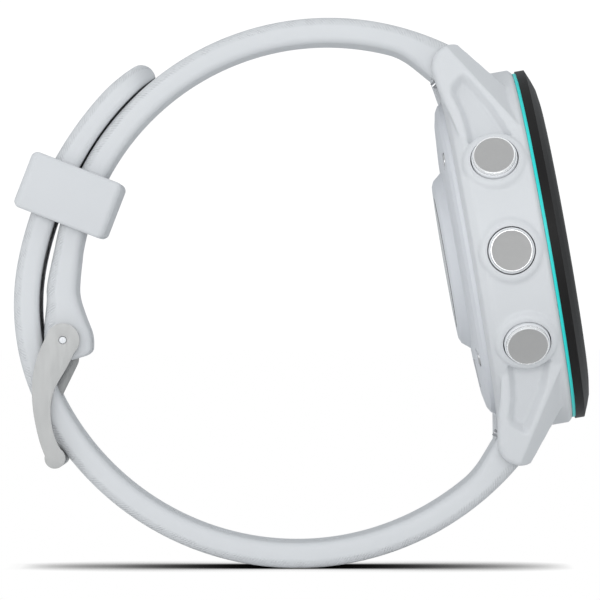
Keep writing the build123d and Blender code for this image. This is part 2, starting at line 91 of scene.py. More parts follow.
def mathNode(tree, operation, first, second=0.0):
    node = tree.nodes.new("ShaderNodeMath")
    node.operation = operation
    for socket, value in zip(node.inputs, (first, second)):
        if isinstance(value, (int, float)):
            socket.default_value = value
        else:
            tree.links.new(value, socket)
    return node.outputs[0]


def buildGrain():
    # fine moulded grain: a colour shade, a roughness and a height
    group = bpy.data.node_groups.new("grain", "ShaderNodeTree")
    for name, kind, value in (("scale", "NodeSocketFloat", 900.0), ("shade", "NodeSocketFloat", 0.04),
                              ("roughness", "NodeSocketFloat", 0.5)):
        socket = group.interface.new_socket(name=name, in_out="INPUT", socket_type=kind)
        socket.default_value = value
    socket = group.interface.new_socket(name="colour", in_out="INPUT", socket_type="NodeSocketColor")
    socket.default_value = (0.8, 0.8, 0.8, 1)
    for name, kind in (("colour", "NodeSocketColor"), ("roughness", "NodeSocketFloat"), ("height", "NodeSocketFloat")):
        group.interface.new_socket(name=name, in_out="OUTPUT", socket_type=kind)
    inside = group.nodes.new("NodeGroupInput")
    outside = group.nodes.new("NodeGroupOutput")
    place = group.nodes.new("ShaderNodeTexCoord")
    fine = group.nodes.new("ShaderNodeTexNoise")
    fine.inputs["Detail"].default_value = 3
    broad = group.nodes.new("ShaderNodeTexNoise")
    broad.inputs["Scale"].default_value = 60
    group.links.new(place.outputs["Object"], fine.inputs["Vector"])
    group.links.new(place.outputs["Object"], broad.inputs["Vector"])
    group.links.new(inside.outputs["scale"], fine.inputs["Scale"])
    drift = mathNode(group, "SUBTRACT", broad.outputs["Fac"], 0.5)
    shade = mathNode(group, "MULTIPLY", drift, inside.outputs["shade"])
    value = mathNode(group, "ADD", shade, 1.0)
    tint = group.nodes.new("ShaderNodeMix")
    tint.data_type = "RGBA"
    tint.blend_type = "MULTIPLY"
    tint.inputs["Factor"].default_value = 1
    grey = group.nodes.new("ShaderNodeCombineColor")
    for name in ("Red", "Green", "Blue"):
        group.links.new(value, grey.inputs[name])
    group.links.new(inside.outputs["colour"], tint.inputs["A"])
    group.links.new(grey.outputs["Color"], tint.inputs["B"])
    group.links.new(tint.outputs["Result"], outside.inputs["colour"])
    spread = mathNode(group, "MULTIPLY", mathNode(group, "SUBTRACT", fine.outputs["Fac"], 0.5), 0.15)
    group.links.new(mathNode(group, "ADD", inside.outputs["roughness"], spread), outside.inputs["roughness"])
    group.links.new(fine.outputs["Fac"], outside.inputs["height"])
    return group


grainGroup = buildGrain()


def addGrain(tree, shader, colour, roughness, scale, shade, bump):
    grain = tree.nodes.new("ShaderNodeGroup")
    grain.node_tree = grainGroup
    grain.inputs["colour"].default_value = (*colour, 1)
    grain.inputs["roughness"].default_value = roughness
    grain.inputs["scale"].default_value = scale
    grain.inputs["shade"].default_value = shade
    relief = tree.nodes.new("ShaderNodeBump")
    relief.inputs["Strength"].default_value = bump
    relief.inputs["Distance"].default_value = 0.02 * mm
    tree.links.new(grain.outputs["colour"], shader.inputs["Base Color"])
    tree.links.new(grain.outputs["roughness"], shader.inputs["Roughness"])
    tree.links.new(grain.outputs["height"], relief.inputs["Height"])
    tree.links.new(relief.outputs["Normal"], shader.inputs["Normal"])
    return grain, relief


def moulded(name, colour, roughness, scale=5000, shade=0.05, bump=0.25):
    material, tree, shader = newMaterial(name, colour, roughness)
    addGrain(tree, shader, colour, roughness, scale, shade, bump)
    return material


def metal(name, colour, roughness, stretch=(1, 1, 1), scale=2500, bump=0.15):
    # satin metal: fine scratches stretched along one direction
    material, tree, shader = newMaterial(name, colour, roughness, 1.0)
    place = tree.nodes.new("ShaderNodeTexCoord")
    mapping = tree.nodes.new("ShaderNodeMapping")
    mapping.inputs["Scale"].default_value = stretch
    noise = tree.nodes.new("ShaderNodeTexNoise")
    noise.inputs["Scale"].default_value = scale
    noise.inputs["Detail"].default_value = 4
    tree.links.new(place.outputs["Object"], mapping.inputs["Vector"])
    tree.links.new(mapping.outputs["Vector"], noise.inputs["Vector"])
    change = mathNode(tree, "MULTIPLY", mathNode(tree, "SUBTRACT", noise.outputs["Fac"], 0.5), 0.25)
    tree.links.new(mathNode(tree, "ADD", change, roughness), shader.inputs["Roughness"])
    relief = tree.nodes.new("ShaderNodeBump")
    relief.inputs["Strength"].default_value = bump
    relief.inputs["Distance"].default_value = 0.01 * mm
    tree.links.new(noise.outputs["Fac"], relief.inputs["Height"])
    tree.links.new(relief.outputs["Normal"], shader.inputs["Normal"])
    return material


def smoothMask(tree, value, low, high):
    ramp = tree.nodes.new("ShaderNodeMapRange")
    ramp.interpolation_type = "SMOOTHSTEP"
    ramp.inputs["From Min"].default_value = low
    ramp.inputs["From Max"].default_value = high
    tree.links.new(value, ramp.inputs["Value"])
    return ramp.outputs["Result"]


hatchLook = {"pitch": 0.36, "slant": 0.75, "patch": 0.9, "edge": 9.5, "fade": 0.35, "height": 0.05, "shade": 0.13}


def hatchedSilicone(name, colour, roughness):
    # fine slanted strokes on the outer face and its rounded edges, in mm along the strip
    material, tree, shader = newMaterial(name, colour, roughness)
    grain, raised = addGrain(tree, shader, colour, roughness, 5000, 0.05, 0.2)
    strip = tree.nodes.new("ShaderNodeUVMap")
    strip.uv_map = "strip"
    parts = tree.nodes.new("ShaderNodeSeparateXYZ")
    tree.links.new(strip.outputs["UV"], parts.inputs["Vector"])
    along, across = parts.outputs["X"], parts.outputs["Y"]
    slanted = mathNode(tree, "ADD", along, mathNode(tree, "MULTIPLY", across, hatchLook["slant"]))
    stroke = mathNode(tree, "SINE", mathNode(tree, "MULTIPLY", slanted, math.tau / hatchLook["pitch"]))
    patches = tree.nodes.new("ShaderNodeTexNoise")
    patches.inputs["Scale"].default_value = hatchLook["patch"]
    patches.inputs["Detail"].default_value = 1
    tree.links.new(strip.outputs["UV"], patches.inputs["Vector"])
    amount = smoothMask(tree, patches.outputs["Fac"], 0.38, 0.6)
    reach = smoothMask(tree, across, hatchLook["edge"], hatchLook["edge"] - hatchLook["fade"])
    stroke = mathNode(tree, "MULTIPLY", mathNode(tree, "MULTIPLY", stroke, amount), reach)
    bump = tree.nodes.new("ShaderNodeBump")
    bump.inputs["Strength"].default_value = 0.55
    bump.inputs["Distance"].default_value = hatchLook["height"] * mm
    tree.links.new(stroke, bump.inputs["Height"])
    tree.links.new(raised.outputs["Normal"], bump.inputs["Normal"])
    tree.links.new(bump.outputs["Normal"], shader.inputs["Normal"])
    # the base colour is darkened in the stroke grooves, following the relief: painted shade
    groovePaintedShade = mathNode(tree, "ADD", 1.0 - hatchLook["shade"] / 2, mathNode(tree, "MULTIPLY", stroke, hatchLook["shade"] / 2))
    tint = tree.nodes.new("ShaderNodeMix")
    tint.data_type = "RGBA"
    tint.blend_type = "MULTIPLY"
    tree.links.new(reach, tint.inputs["Factor"])
    grey = tree.nodes.new("ShaderNodeCombineColor")
    for channel in ("Red", "Green", "Blue"):
        tree.links.new(groovePaintedShade, grey.inputs[channel])
    tree.links.new(grain.outputs["colour"], tint.inputs["A"])
    tree.links.new(grey.outputs["Color"], tint.inputs["B"])
    tree.links.new(tint.outputs["Result"], shader.inputs["Base Color"])
    return material


def glassLike(name, colour, roughness, transmission):
    material, tree, shader = newMaterial(name, colour, roughness)
    shader.inputs["Transmission Weight"].default_value = transmission
    shader.inputs["IOR"].default_value = 1.5
    smears = tree.nodes.new("ShaderNodeTexNoise")
    smears.inputs["Scale"].default_value = 180
    change = mathNode(tree, "MULTIPLY", smears.outputs["Fac"], 0.05)
    tree.links.new(mathNode(tree, "ADD", change, roughness), shader.inputs["Roughness"])
    return material


def darkPolymer(name, colour, roughness, level):
    material = moulded(name, colour, roughness, bump=0.3)
    material.node_tree.nodes["Principled BSDF"].inputs["Specular IOR Level"].default_value = level
    return material


casePolymer = moulded("case polymer", (0.662, 0.674, 0.69), 0.5)
accentPolymer = moulded("accent polymer", (0.02, 0.82, 0.78), 0.4)
bezelPolymer = darkPolymer("bezel polymer", (0.008, 0.0075, 0.0075), 0.5, 0.2)
coverPolymer = moulded("cover polymer", (0.66, 0.675, 0.705), 0.45)
silicone = hatchedSilicone("silicone", (0.662, 0.674, 0.69), 0.55)
keeperSilicone = moulded("keeper silicone", (0.636, 0.648, 0.665), 0.55)
buttonSteel = metal("button steel", (0.40, 0.395, 0.39), 0.6)
# polished edge finish; its near-white colour with low metal share also paints a highlight on the bevels
polishedEdgePaintedHighlight = metal("polished steel, painted highlight", (0.92, 0.92, 0.92), 0.25, bump=0.03)
satinSteel = metal("satin steel", (0.41, 0.41, 0.405), 0.42, stretch=(1, 1, 0.15))
capWall = moulded("cap wall", (0.78, 0.79, 0.81), 0.35)
barSteel = metal("bar steel", (0.55, 0.55, 0.56), 0.25)
for material, share in ((buttonSteel, 0.15), (satinSteel, 0.3), (polishedEdgePaintedHighlight, 0.55)):
    material.node_tree.nodes["Principled BSDF"].inputs["Metallic"].default_value = share
finishes = {
    "case_polymer": casePolymer, "accent_polymer": accentPolymer, "bezel_polymer": bezelPolymer,
    "glass": glassLike("lens glass", (0.98, 0.98, 0.98), 0.02, 1.0),
    "display": darkPolymer("display layer", (0.004, 0.004, 0.005), 0.25, 0.5),
    "adhesive": moulded("adhesive", (0.02, 0.02, 0.02), 0.6),
    "inner_plastic": moulded("inner plastic", (0.03, 0.03, 0.035), 0.55),
    "circuit_board": moulded("circuit board", (0.01, 0.09, 0.04), 0.4, scale=2500, shade=0.2),
    "shield_tin": metal("shield tin", (0.6, 0.6, 0.58), 0.35),
    "cell": moulded("cell wrap", (0.05, 0.06, 0.08), 0.35, shade=0.1),
    "motor_steel": metal("motor steel", (0.5, 0.5, 0.5), 0.3),
    "brass_disc": metal("brass disc", (0.75, 0.55, 0.25), 0.3),
    "cover_polymer": coverPolymer,
    "seal_rubber": moulded("seal rubber", (0.02, 0.02, 0.02), 0.7),
    "screw_steel": metal("screw steel", (0.5, 0.5, 0.5), 0.3),
    "sensor_glass": glassLike("sensor glass", (0.05, 0.05, 0.055), 0.05, 0.0),
    "sensor_chip": moulded("sensor chip", (0.02, 0.02, 0.02), 0.3),
    "diode": moulded("diode", (0.25, 0.75, 0.3), 0.25),
    "gold_contact": metal("gold contact", (0.85, 0.65, 0.3), 0.25),
    "socket_plastic": moulded("socket plastic", (0.03, 0.03, 0.03), 0.5),
    "button_steel": buttonSteel, "spring_steel": metal("spring steel", (0.5, 0.5, 0.52), 0.25),
    "silicone": keeperSilicone, "buckle_steel": satinSteel, "bar_steel": barSteel}
for node in nodes.values():
    for slot in node.material_slots:
        slot.material = finishes[slot.material.name.split(".")[0]]


# mesh helpers
def finishMesh(name, bm, body, materials, smoothAngle=35, place=None):
    if place is not None:
        bmesh.ops.transform(bm, matrix=place, verts=bm.verts)
    mesh = bpy.data.meshes.new(name)
    bm.to_mesh(mesh)
    bm.free()
    for material in materials:
        mesh.materials.append(material)
    mesh.polygons.foreach_set("use_smooth", [True] * len(mesh.polygons))
    mesh.set_sharp_from_angle(angle=math.radians(smoothAngle))
    piece = bpy.data.objects.new(name, mesh)
    bpy.context.scene.collection.objects.link(piece)
    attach(piece, body)
    return piece


def spun(profile, steps=192, centre=(0, 0, 0), axis=(0, 0, 1)):
    # profile: radius and height pairs in mm, closed on itself
    bm = bmesh.new()
    verts = [bm.verts.new((radius * mm, 0, height * mm)) for radius, height in profile]
    edges = [bm.edges.new((a, b)) for a, b in zip(verts, verts[1:] + verts[:1])]
    bmesh.ops.spin(bm, geom=verts + edges, cent=centre, axis=axis, angle=math.tau, steps=steps, use_merge=True)
    bmesh.ops.remove_doubles(bm, verts=bm.verts, dist=0.002 * mm)
    bmesh.ops.dissolve_degenerate(bm, edges=bm.edges, dist=0.001 * mm)
    bmesh.ops.recalc_face_normals(bm, faces=bm.faces)
    return bm


def softened(bm, width, segments=3, angle=28, edgeMaterial=-1):
    sharp = [e for e in bm.edges if len(e.link_faces) == 2 and e.calc_face_angle(0) > math.radians(angle)]
    bmesh.ops.bevel(bm, geom=sharp, offset=width * mm, affect="EDGES", segments=segments, profile=0.5,
                    material=edgeMaterial, clamp_overlap=True)
    return bm


def asCutter(bm, place=None):
    if place is not None:
        bmesh.ops.transform(bm, matrix=place, verts=bm.verts)
    mesh = bpy.data.meshes.new("cutter")
    bm.to_mesh(mesh)
    bm.free()
    cutter = bpy.data.objects.new("cutter", mesh)
    bpy.context.scene.collection.objects.link(cutter)
    return cutter


def applied(piece):
    # bakes the piece's modifiers into its mesh
    bpy.context.view_layer.update()
    graph = bpy.context.evaluated_depsgraph_get()
    mesh = bpy.data.meshes.new_from_object(piece.evaluated_get(graph))
    piece.modifiers.clear()
    old = piece.data
    piece.data = mesh
    bpy.data.meshes.remove(old)
    return piece


def carve(piece, cutters, operation="DIFFERENCE"):
    for cutter in cutters:
        modifier = piece.modifiers.new("cut", "BOOLEAN")
        modifier.operation = operation
        modifier.object = cutter
        modifier.solver = "EXACT"
        applied(piece)
        bpy.data.objects.remove(cutter)
    return piece


# case: the CAD shell with its hollows plugged, softened all over, then cut crisply again
caseShape = {"voxel": 0.17, "smooth": 4, "smoothFactor": 0.5, "keep": 0.55,
             "cavity": 17.7, "flange": 17.0, "top": -0.15, "flangeDepth": 1.25, "coverSeat": 18.5, "coverW": -8.3,
             "bottom": -8.95}
buttonSet = {"names": ("light", "up", "down", "start", "back"),
             "pocket": 2.79, "floor": 19.3, "stem": 0.86, "seal": 1.47, "sealDepth": 0.75,
             "cap": 2.65, "face": 2.3, "rim": 0.16, "inner": 20.6, "shoulder": 21.6, "out": 22.05, "groove": 0.1}


def alongButton(name):
    # axis z runs out of the case through the button
    outwards = -Vector(joints[f"{name}_button_press"]["axis"]).normalized()
    low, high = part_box(f"{name}_button_cap")
    height = ((low + high) / 2 - caseOrigin).dot(displayNormal)
    beside = outwards.cross(displayNormal)
    place = Matrix((displayNormal, beside, outwards)).transposed().to_4x4()
    place.translation = caseOrigin + displayNormal * height
    return place


def buildCase():
    c = caseShape
    source = nodes["case_housing"].data.copy()
    bm = bmesh.new()
    bm.from_mesh(source)
    bmesh.ops.remove_doubles(bm, verts=bm.verts, dist=0.001 * mm)
    plugs = [spun([(0, c["bottom"]), (18.55, c["bottom"]), (18.55, c["top"]), (0, c["top"])], 96)]
    for name in buttonSet["names"]:
        # raised collar with a rolled lip
        collar = spun([(0, 18.5), (3.75, 18.5), (3.75, 20.75), (3.45, 21.15), (3.1, 21.32), (2.75, 21.25),
                       (0, 21.2)], 64)
        bmesh.ops.transform(collar, matrix=casePlace.inverted() @ alongButton(name), verts=collar.verts)
        plugs.append(collar)
    for plug in plugs:
        bmesh.ops.transform(plug, matrix=casePlace, verts=plug.verts)
        mesh = bpy.data.meshes.new("plug")
        plug.to_mesh(mesh)
        plug.free()
        bm.from_mesh(mesh)
    piece = finishMesh("case_shell", bm, "case", [casePolymer])
    remesh = piece.modifiers.new("blend", "REMESH")
    remesh.mode = "VOXEL"
    remesh.voxel_size = c["voxel"] * mm
    soften = piece.modifiers.new("soften", "SMOOTH")
    soften.iterations = c["smooth"]
    soften.factor = c["smoothFactor"]
    fewer = piece.modifiers.new("fewer", "DECIMATE")
    fewer.ratio = c["keep"]
    applied(piece)
    cutters = [asCutter(spun([
        (0, c["bottom"] - 1), (c["coverSeat"], c["bottom"] - 1), (c["coverSeat"], c["coverW"]), (c["cavity"], c["coverW"]),
        (c["cavity"], c["top"] - c["flangeDepth"]), (c["flange"], c["top"] - c["flangeDepth"]), (c["flange"], 1), (0, 1)],
        192), casePlace)]
    for name in buttonSet["names"]:
        b = buttonSet
        cutters.append(asCutter(spun([
            (0, c["cavity"] - 1), (b["stem"], c["cavity"] - 1), (b["stem"], b["floor"] - b["sealDepth"]),
            (b["seal"], b["floor"] - b["sealDepth"]), (b["seal"], b["floor"]), (b["pocket"], b["floor"]),
            (b["pocket"], 24), (0, 24)], 96), alongButton(name)))
    carve(piece, cutters)
    piece.data.polygons.foreach_set("use_smooth", [True] * len(piece.data.polygons))
    piece.data.set_sharp_from_angle(angle=math.radians(40))
    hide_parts("case_housing")
    print("case shell:", len(piece.data.polygons), "faces")


def buildButton(name):
    # satin face with a polished turned edge, its near-white colour a painted highlight, on a pale cap wall
    b = buttonSet
    profile = [(0, b["inner"]), (b["cap"] - 0.1, b["inner"]), (b["cap"], b["inner"] + 0.1), (b["cap"], b["shoulder"] - 0.12),
               (b["cap"] - 0.04, b["shoulder"] - 0.03), (b["cap"] - 0.12, b["shoulder"]),
               (b["face"] + b["rim"] + 0.04, b["shoulder"]), (b["face"] + b["rim"], b["shoulder"] - b["groove"]),
               (b["face"] + b["rim"], b["out"] - 0.1), (b["face"] + b["rim"] - 0.03, b["out"] - 0.03),
               (b["face"] + b["rim"] - 0.09, b["out"]), (b["face"], b["out"]), (b["face"] - 0.1, b["out"] - 0.02),
               (1.5, b["out"] - 0.035), (0, b["out"] - 0.04)]
    bm = spun(profile, 160)
    for face in bm.faces:
        middle = face.calc_center_median()
        radius = Vector((middle.x, middle.y)).length / mm
        if middle.z / mm > b["shoulder"] + 0.01:
            face.material_index = 1 if radius > b["face"] - 0.02 else 0
        else:
            face.material_index = 2
    piece = finishMesh(f"{name}_button_face", bm, f"{name}_button", [buttonSteel, polishedEdgePaintedHighlight, capWall], 40,
                       alongButton(name))
    # the hidden stem keeps its place behind the cap
    stem = spun([(0, 17.1), (0.78, 17.1), (0.8, 17.15), (0.8, b["inner"] + 0.05), (0, b["inner"] + 0.05)], 64)
    stem = finishMesh(f"{name}_button_stem", stem, f"{name}_button", [buttonSteel], 40, alongButton(name))
    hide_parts(f"{name}_button_cap")
    print(name, "button:", len(piece.data.polygons), "faces")


buildCase()
for name in buttonSet["names"]:
    buildButton(name)


# straps: rounded silicone bands swept along the worn loop
strapLook = {"width": 18.0, "narrow": 16.4, "thick": 2.95, "outerRound": 1.1, "innerRound": 0.85, "cuts": 17, "crown": 0.14,
             "wideLength": 8.0, "taperLength": 12.0, "bulb": 2.1, "step": 0.55,
             "bore": 0.8,
             "leverY": -4.6, "leverSlot": (3.3, 1.6, 4.0), "leverLean": 33}
upperLoop = {"centre": (7.3, -0.5), "inner": 29.3, "end": 170.0}
lowerLoop = {"centre": (3.65, 1.55), "inner": 30.75, "end": 208.0,
             "tail": ((25.1, 10.8), (25.8, 28.2), (38.6, 30.4), (20.0, 15.0)), "tipLength": 5.5, "thinFrom": 17.5,
             "under": 0.27, "crown": 0.03, "holeLength": 4.3, "holeWidth": 2.4, "holePitch": 6.5, "toLug": 6, "toTip": 5, "tongueHole": 0.3}
buckleEnd = {"pin": (-23.75, -5.7), "slot": 1.05, "eye": 1.9, "bore": 0.47,
             "outer": ((-1.7, 6.3), (-1.6, 4.7), (-1.85, 2.4), (-1.95, 0.6), (-1.92, -0.6), (-1.5, -1.65), (-0.2, -2.1)),
             "inner": ((1.75, 6.2), (1.9, 4.7), (2.7, 2.4), (3.3, 1.0), (3.5, -0.2), (3.4, -1.6), (1.4, -2.25))}


def onCircle(centre, radius, angle):
    return Vector((centre[0] + radius * math.cos(math.radians(angle)), centre[1] + radius * math.sin(math.radians(angle))))


def arcPairs(loop, start, end):
    # outer and inner points of a plain stretch
    length = abs(end - start) * math.radians(loop["inner"])
    count = max(2, round(length / strapLook["step"]))
    pairs = []
    for index in range(count + 1):
        angle = start + (end - start) * index / count
        pairs.append((onCircle(loop["centre"], loop["inner"] + strapLook["thick"], angle),
                      onCircle(loop["centre"], loop["inner"], angle)))
    return pairs


def lugPairs(loop, pin, turn):
    # round end about the lug pin, faired into the band; turn is the way that the angle grows along it
    away = Vector((pin.x / mm, pin.z / mm)) - Vector(loop["centre"])
    angle = math.degrees(math.atan2(away.y, away.x)) % 360
    radius = away.length
    bulb = strapLook["bulb"]
    pairs = []
    for share in (0.995, 0.97, 0.92, 0.83, 0.7, 0.55, 0.37, 0.18):
        reach = bulb * math.sqrt(1 - share ** 2)
        at = angle - turn * math.degrees(share * bulb / radius)
        top = min(radius + reach, loop["inner"] + strapLook["thick"])
        pairs.append((onCircle(loop["centre"], top, at), onCircle(loop["centre"], radius - reach, at)))
    fade = 7.5
    for index in range(14):
        along = index / 14 * fade
        at = angle + turn * math.degrees(along / radius)
        swell = (loop["inner"] - radius + bulb) * (0.5 + 0.5 * math.cos(math.pi * along / fade))
        pairs.append((onCircle(loop["centre"], loop["inner"] + strapLook["thick"], at),
                      onCircle(loop["centre"], loop["inner"] - swell, at)))
    return pairs, angle + turn * math.degrees(fade / radius)


def eased(points, rounds=2):
    # cuts the corners of a run of points, keeping its ends
    for _ in range(rounds):
        cut = [points[0]]
        for a, b in zip(points, points[1:]):
            cut += [a.lerp(b, 0.25), a.lerp(b, 0.75)]
        points = cut + [points[-1]]
    return points


def bandWidth(x, pin):
    # full width by the lug, then tapering along X
    first = pin.x / mm - strapLook["wideLength"]
    share = min(1.0, max(0.0, (first - x) / strapLook["taperLength"]))
    share = share * share * (3 - 2 * share)
    return strapLook["width"] + (strapLook["narrow"] - strapLook["width"]) * share


def bandSection(bm, look):
    # rounded cross-section in mm: x outwards, y across
    across = bm.verts.layers.float.new("across")
    bm.verts.layers.float.new("along")
    bmesh.ops.create_grid(bm, x_segments=1, y_segments=1, size=1)
    bmesh.ops.scale(bm, verts=bm.verts, vec=(look["thick"] / 2, look["width"] / 2, 1))
    for sign, radius in ((1, look["outerRound"]), (-1, look["innerRound"])):
        corners = [v for v in bm.verts if v.co.x * sign > 0 and abs(v.co.y) > look["width"] / 2 - 0.001]
        corners = [v for v in corners if abs(v.co.x) > look["thick"] / 2 - 0.001]
        bmesh.ops.bevel(bm, geom=corners, offset=radius, affect="VERTICES", segments=6, profile=0.5, material=-1)
    bmesh.ops.delete(bm, geom=list(bm.faces), context="FACES_ONLY")
    wide = [e for e in bm.edges if e.calc_length() > look["width"] / 2]
    bmesh.ops.subdivide_edges(bm, edges=wide, cuts=look["cuts"])
    ring = [min(bm.verts, key=lambda v: (round(-v.co.x, 4), abs(v.co.y)))]
    while len(ring) < len(bm.verts):
        beside = [e.other_vert(ring[-1]) for e in ring[-1].link_edges]
        ring.append(next(v for v in beside if v not in ring[-2:]))
    total = sum((a.co - b.co).length for a, b in zip(ring, ring[1:] + ring[:1]))
    walked = 0.0
    for a, b in zip(ring, ring[1:] + ring[:1]):
        a[across] = min(walked, total - walked)
        walked += (a.co - b.co).length
    for vert in bm.verts:
        if vert.co.x > 0:
            vert.co.x += look["crown"] * (1 - (2 * vert.co.y / look["width"]) ** 2)
    bmesh.ops.scale(bm, verts=bm.verts, vec=(2 / look["thick"], 2 / look["width"], 1))


def stationPlace(pair, ahead, width):
    outer, inner = pair
    middle = (outer + inner) / 2
    out = (outer - inner) / 2
    along = Vector((ahead.x, 0, ahead.y)).normalized()
    return Matrix(((out.x * mm, 0, along.x * mm, middle.x * mm), (0, width / 2 * mm, 0, 0),
                   (out.y * mm, 0, along.z * mm, middle.y * mm), (0, 0, 0, 1)))


def sweepBand(look, pairs, widths):
    bm = bmesh.new()
    bandSection(bm, look)
    edges = list(bm.edges)
    alongLayer = bm.verts.layers.float["along"]
    middles = [(outer + inner) / 2 for outer, inner in pairs]
    last = None
    walked = 0.0
    for index, pair in enumerate(pairs):
        ahead = middles[min(index + 1, len(pairs) - 1)] - middles[max(index - 1, 0)]
        here = stationPlace(pair, ahead, widths[index])
        if last is None:
            verts = list(bm.verts)
            bmesh.ops.transform(bm, matrix=here, verts=verts)
            bmesh.ops.edgeloop_fill(bm, edges=edges)
        else:
            walked += (middles[index] - middles[index - 1]).length
            grown = bmesh.ops.extrude_edge_only(bm, edges=edges)["geom"]
            verts = [g for g in grown if isinstance(g, bmesh.types.BMVert)]
            fresh = set(verts)
            edges = [g for g in grown if isinstance(g, bmesh.types.BMEdge) and set(g.verts) <= fresh]
            bmesh.ops.transform(bm, matrix=here @ last.inverted(), verts=verts)
        for vert in verts:
            vert[alongLayer] = walked
        last = here
    bmesh.ops.edgeloop_fill(bm, edges=edges)
    bmesh.ops.recalc_face_normals(bm, faces=bm.faces)
    strip = bm.loops.layers.uv.new("strip")
    acrossLayer = bm.verts.layers.float["across"]
    for face in bm.faces:
        for loop in face.loops:
            loop[strip].uv = (loop.vert[alongLayer], loop.vert[acrossLayer])
    return bm


def rod(radius, half, place):
    bm = bmesh.new()
    bmesh.ops.create_cone(bm, cap_ends=True, segments=48, radius1=radius * mm, radius2=radius * mm, depth=2 * half * mm)
    bmesh.ops.rotate(bm, verts=bm.verts, matrix=Matrix.Rotation(math.pi / 2, 3, "X"))
    return asCutter(bm, Matrix.Translation(place))


def prism(points, half, centre):
    # an outline in the X-Z plane, pulled out across the strap both ways
    bm = bmesh.new()
    verts = [bm.verts.new((x * mm + centre.x, -half * mm, z * mm + centre.z)) for x, z in points]
    face = bm.faces.new(verts)
    grown = bmesh.ops.extrude_face_region(bm, geom=[face])["geom"]
    bmesh.ops.translate(bm, verts=[g for g in grown if isinstance(g, bmesh.types.BMVert)], vec=(0, 2 * half * mm, 0))
    bmesh.ops.recalc_face_normals(bm, faces=bm.faces)
    return bm


def leverCut(side, pin):
    # slot under the strap for the quick-release lever
    bm = bmesh.new()
    bmesh.ops.create_cube(bm, size=1)
    length, width, depth = strapLook["leverSlot"]
    bmesh.ops.scale(bm, verts=bm.verts, vec=(length * mm, width * mm, depth * mm))
    bmesh.ops.translate(bm, verts=bm.verts, vec=((strapLook["leverY"] + 0.45) * mm, 0, -depth / 2 * mm))
    bmesh.ops.rotate(bm, verts=bm.verts, matrix=Matrix.Rotation(math.radians(-side * strapLook["leverLean"]), 3, "X"))
    turn = casePlace.to_3x3().to_4x4()
    return asCutter(bm, Matrix.Translation(pin) @ turn)


def buildBuckleStrap():
    start, angle = lugPairs(upperLoop, upperPin, 1)
    pairs = start + arcPairs(upperLoop, angle, upperLoop["end"])
    pin = Vector(buckleEnd["pin"])
    last = pairs[-1]
    outer = eased([last[0]] + [pin + Vector(p) for p in buckleEnd["outer"]])
    inner = eased([last[1]] + [pin + Vector(p) for p in buckleEnd["inner"]])
    pairs += list(zip(outer, inner))[1:]
    widths = [bandWidth(((o + i) / 2).x, upperPin) for o, i in pairs]
    bm = sweepBand(strapLook, pairs, widths)
    piece = finishMesh("buckle_strap_skin", bm, "buckle_strap", [silicone])
    slot = buckleEnd["slot"]
    cutters = [rod(strapLook["bore"], 12, upperPin), rod(buckleEnd["bore"], 12, bucklePin), rod(buckleEnd["eye"], slot, bucklePin),
               asCutter(prism(((-8, -8), (8, -8), (5, 1.0), (0, 1.9), (-5, 0.9)), slot, bucklePin)), leverCut(1, upperPin)]
    carve(piece, cutters)
    piece.data.set_sharp_from_angle(angle=math.radians(38))
    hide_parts("buckle_strap")
    print("buckle strap:", len(piece.data.polygons), "faces")


def tailRuns():
    # tangent arcs on from the lower circle: centre, radius, start angle, turn
    radius = lowerLoop["inner"] + strapLook["thick"] / 2
    angle = lowerLoop["end"]
    point = onCircle(lowerLoop["centre"], radius, angle)
    runs = []
    for bend, turn in lowerLoop["tail"]:
        centre = onCircle(point, -bend, angle)
        runs.append((centre, bend, angle, turn))
        angle -= turn
        point = onCircle(centre, bend, angle)
    return runs


def tailPlace(length):
    # middle point and outward angle of the lower strap, zero at the end of its circle
    if length <= 0:
        radius = lowerLoop["inner"] + strapLook["thick"] / 2
        angle = lowerLoop["end"] - math.degrees(length / radius)
        return onCircle(lowerLoop["centre"], radius, angle), angle
    for centre, bend, start, turn in tailRuns():
        run = bend * math.radians(turn)
        if length <= run:
            angle = start - math.degrees(length / bend)
            return onCircle(centre, bend, angle), angle
        length -= run
    return onCircle(centre, bend, start - turn), start - turn


def holeCutter(length):
    # one adjustment hole, flared at both faces
    point, angle = tailPlace(length)
    bm = bmesh.new()
    straight = (lowerLoop["holeLength"] - lowerLoop["holeWidth"]) / 2
    radius = lowerLoop["holeWidth"] / 2
    half = strapLook["thick"] / 2
    bmesh.ops.create_circle(bm, cap_ends=True, segments=28, radius=radius * mm)
    for vert in bm.verts:
        vert.co.x += math.copysign(straight * mm, vert.co.x)
    bmesh.ops.translate(bm, verts=bm.verts, vec=(0, 0, -(half + 0.6) * mm))
    face = list(bm.faces)
    for height, grow in ((-half + 0.3, 0.8), (half - 0.3, 1.0), (half + 0.6, 1.25)):
        grown = bmesh.ops.extrude_face_region(bm, geom=face)["geom"]
        verts = [g for g in grown if isinstance(g, bmesh.types.BMVert)]
        bmesh.ops.translate(bm, verts=verts, vec=(0, 0, height * mm - verts[0].co.z))
        bmesh.ops.scale(bm, verts=verts, vec=(grow, grow, 1))
        face = [g for g in grown if isinstance(g, bmesh.types.BMFace)]
    bmesh.ops.recalc_face_normals(bm, faces=bm.faces)
    turn = Matrix.Rotation(math.radians(90 - angle), 4, "Y")
    return asCutter(bm, Matrix.Translation((point.x * mm, 0, point.y * mm)) @ turn)


def clearOfStrap(point):
    # the tail's last stretch is thinned where it lies over the other strap
    away = point - Vector(upperLoop["centre"])
    least = upperLoop["inner"] + strapLook["thick"] + lowerLoop["under"]
    return Vector(upperLoop["centre"]) + away * max(1.0, least / away.length)


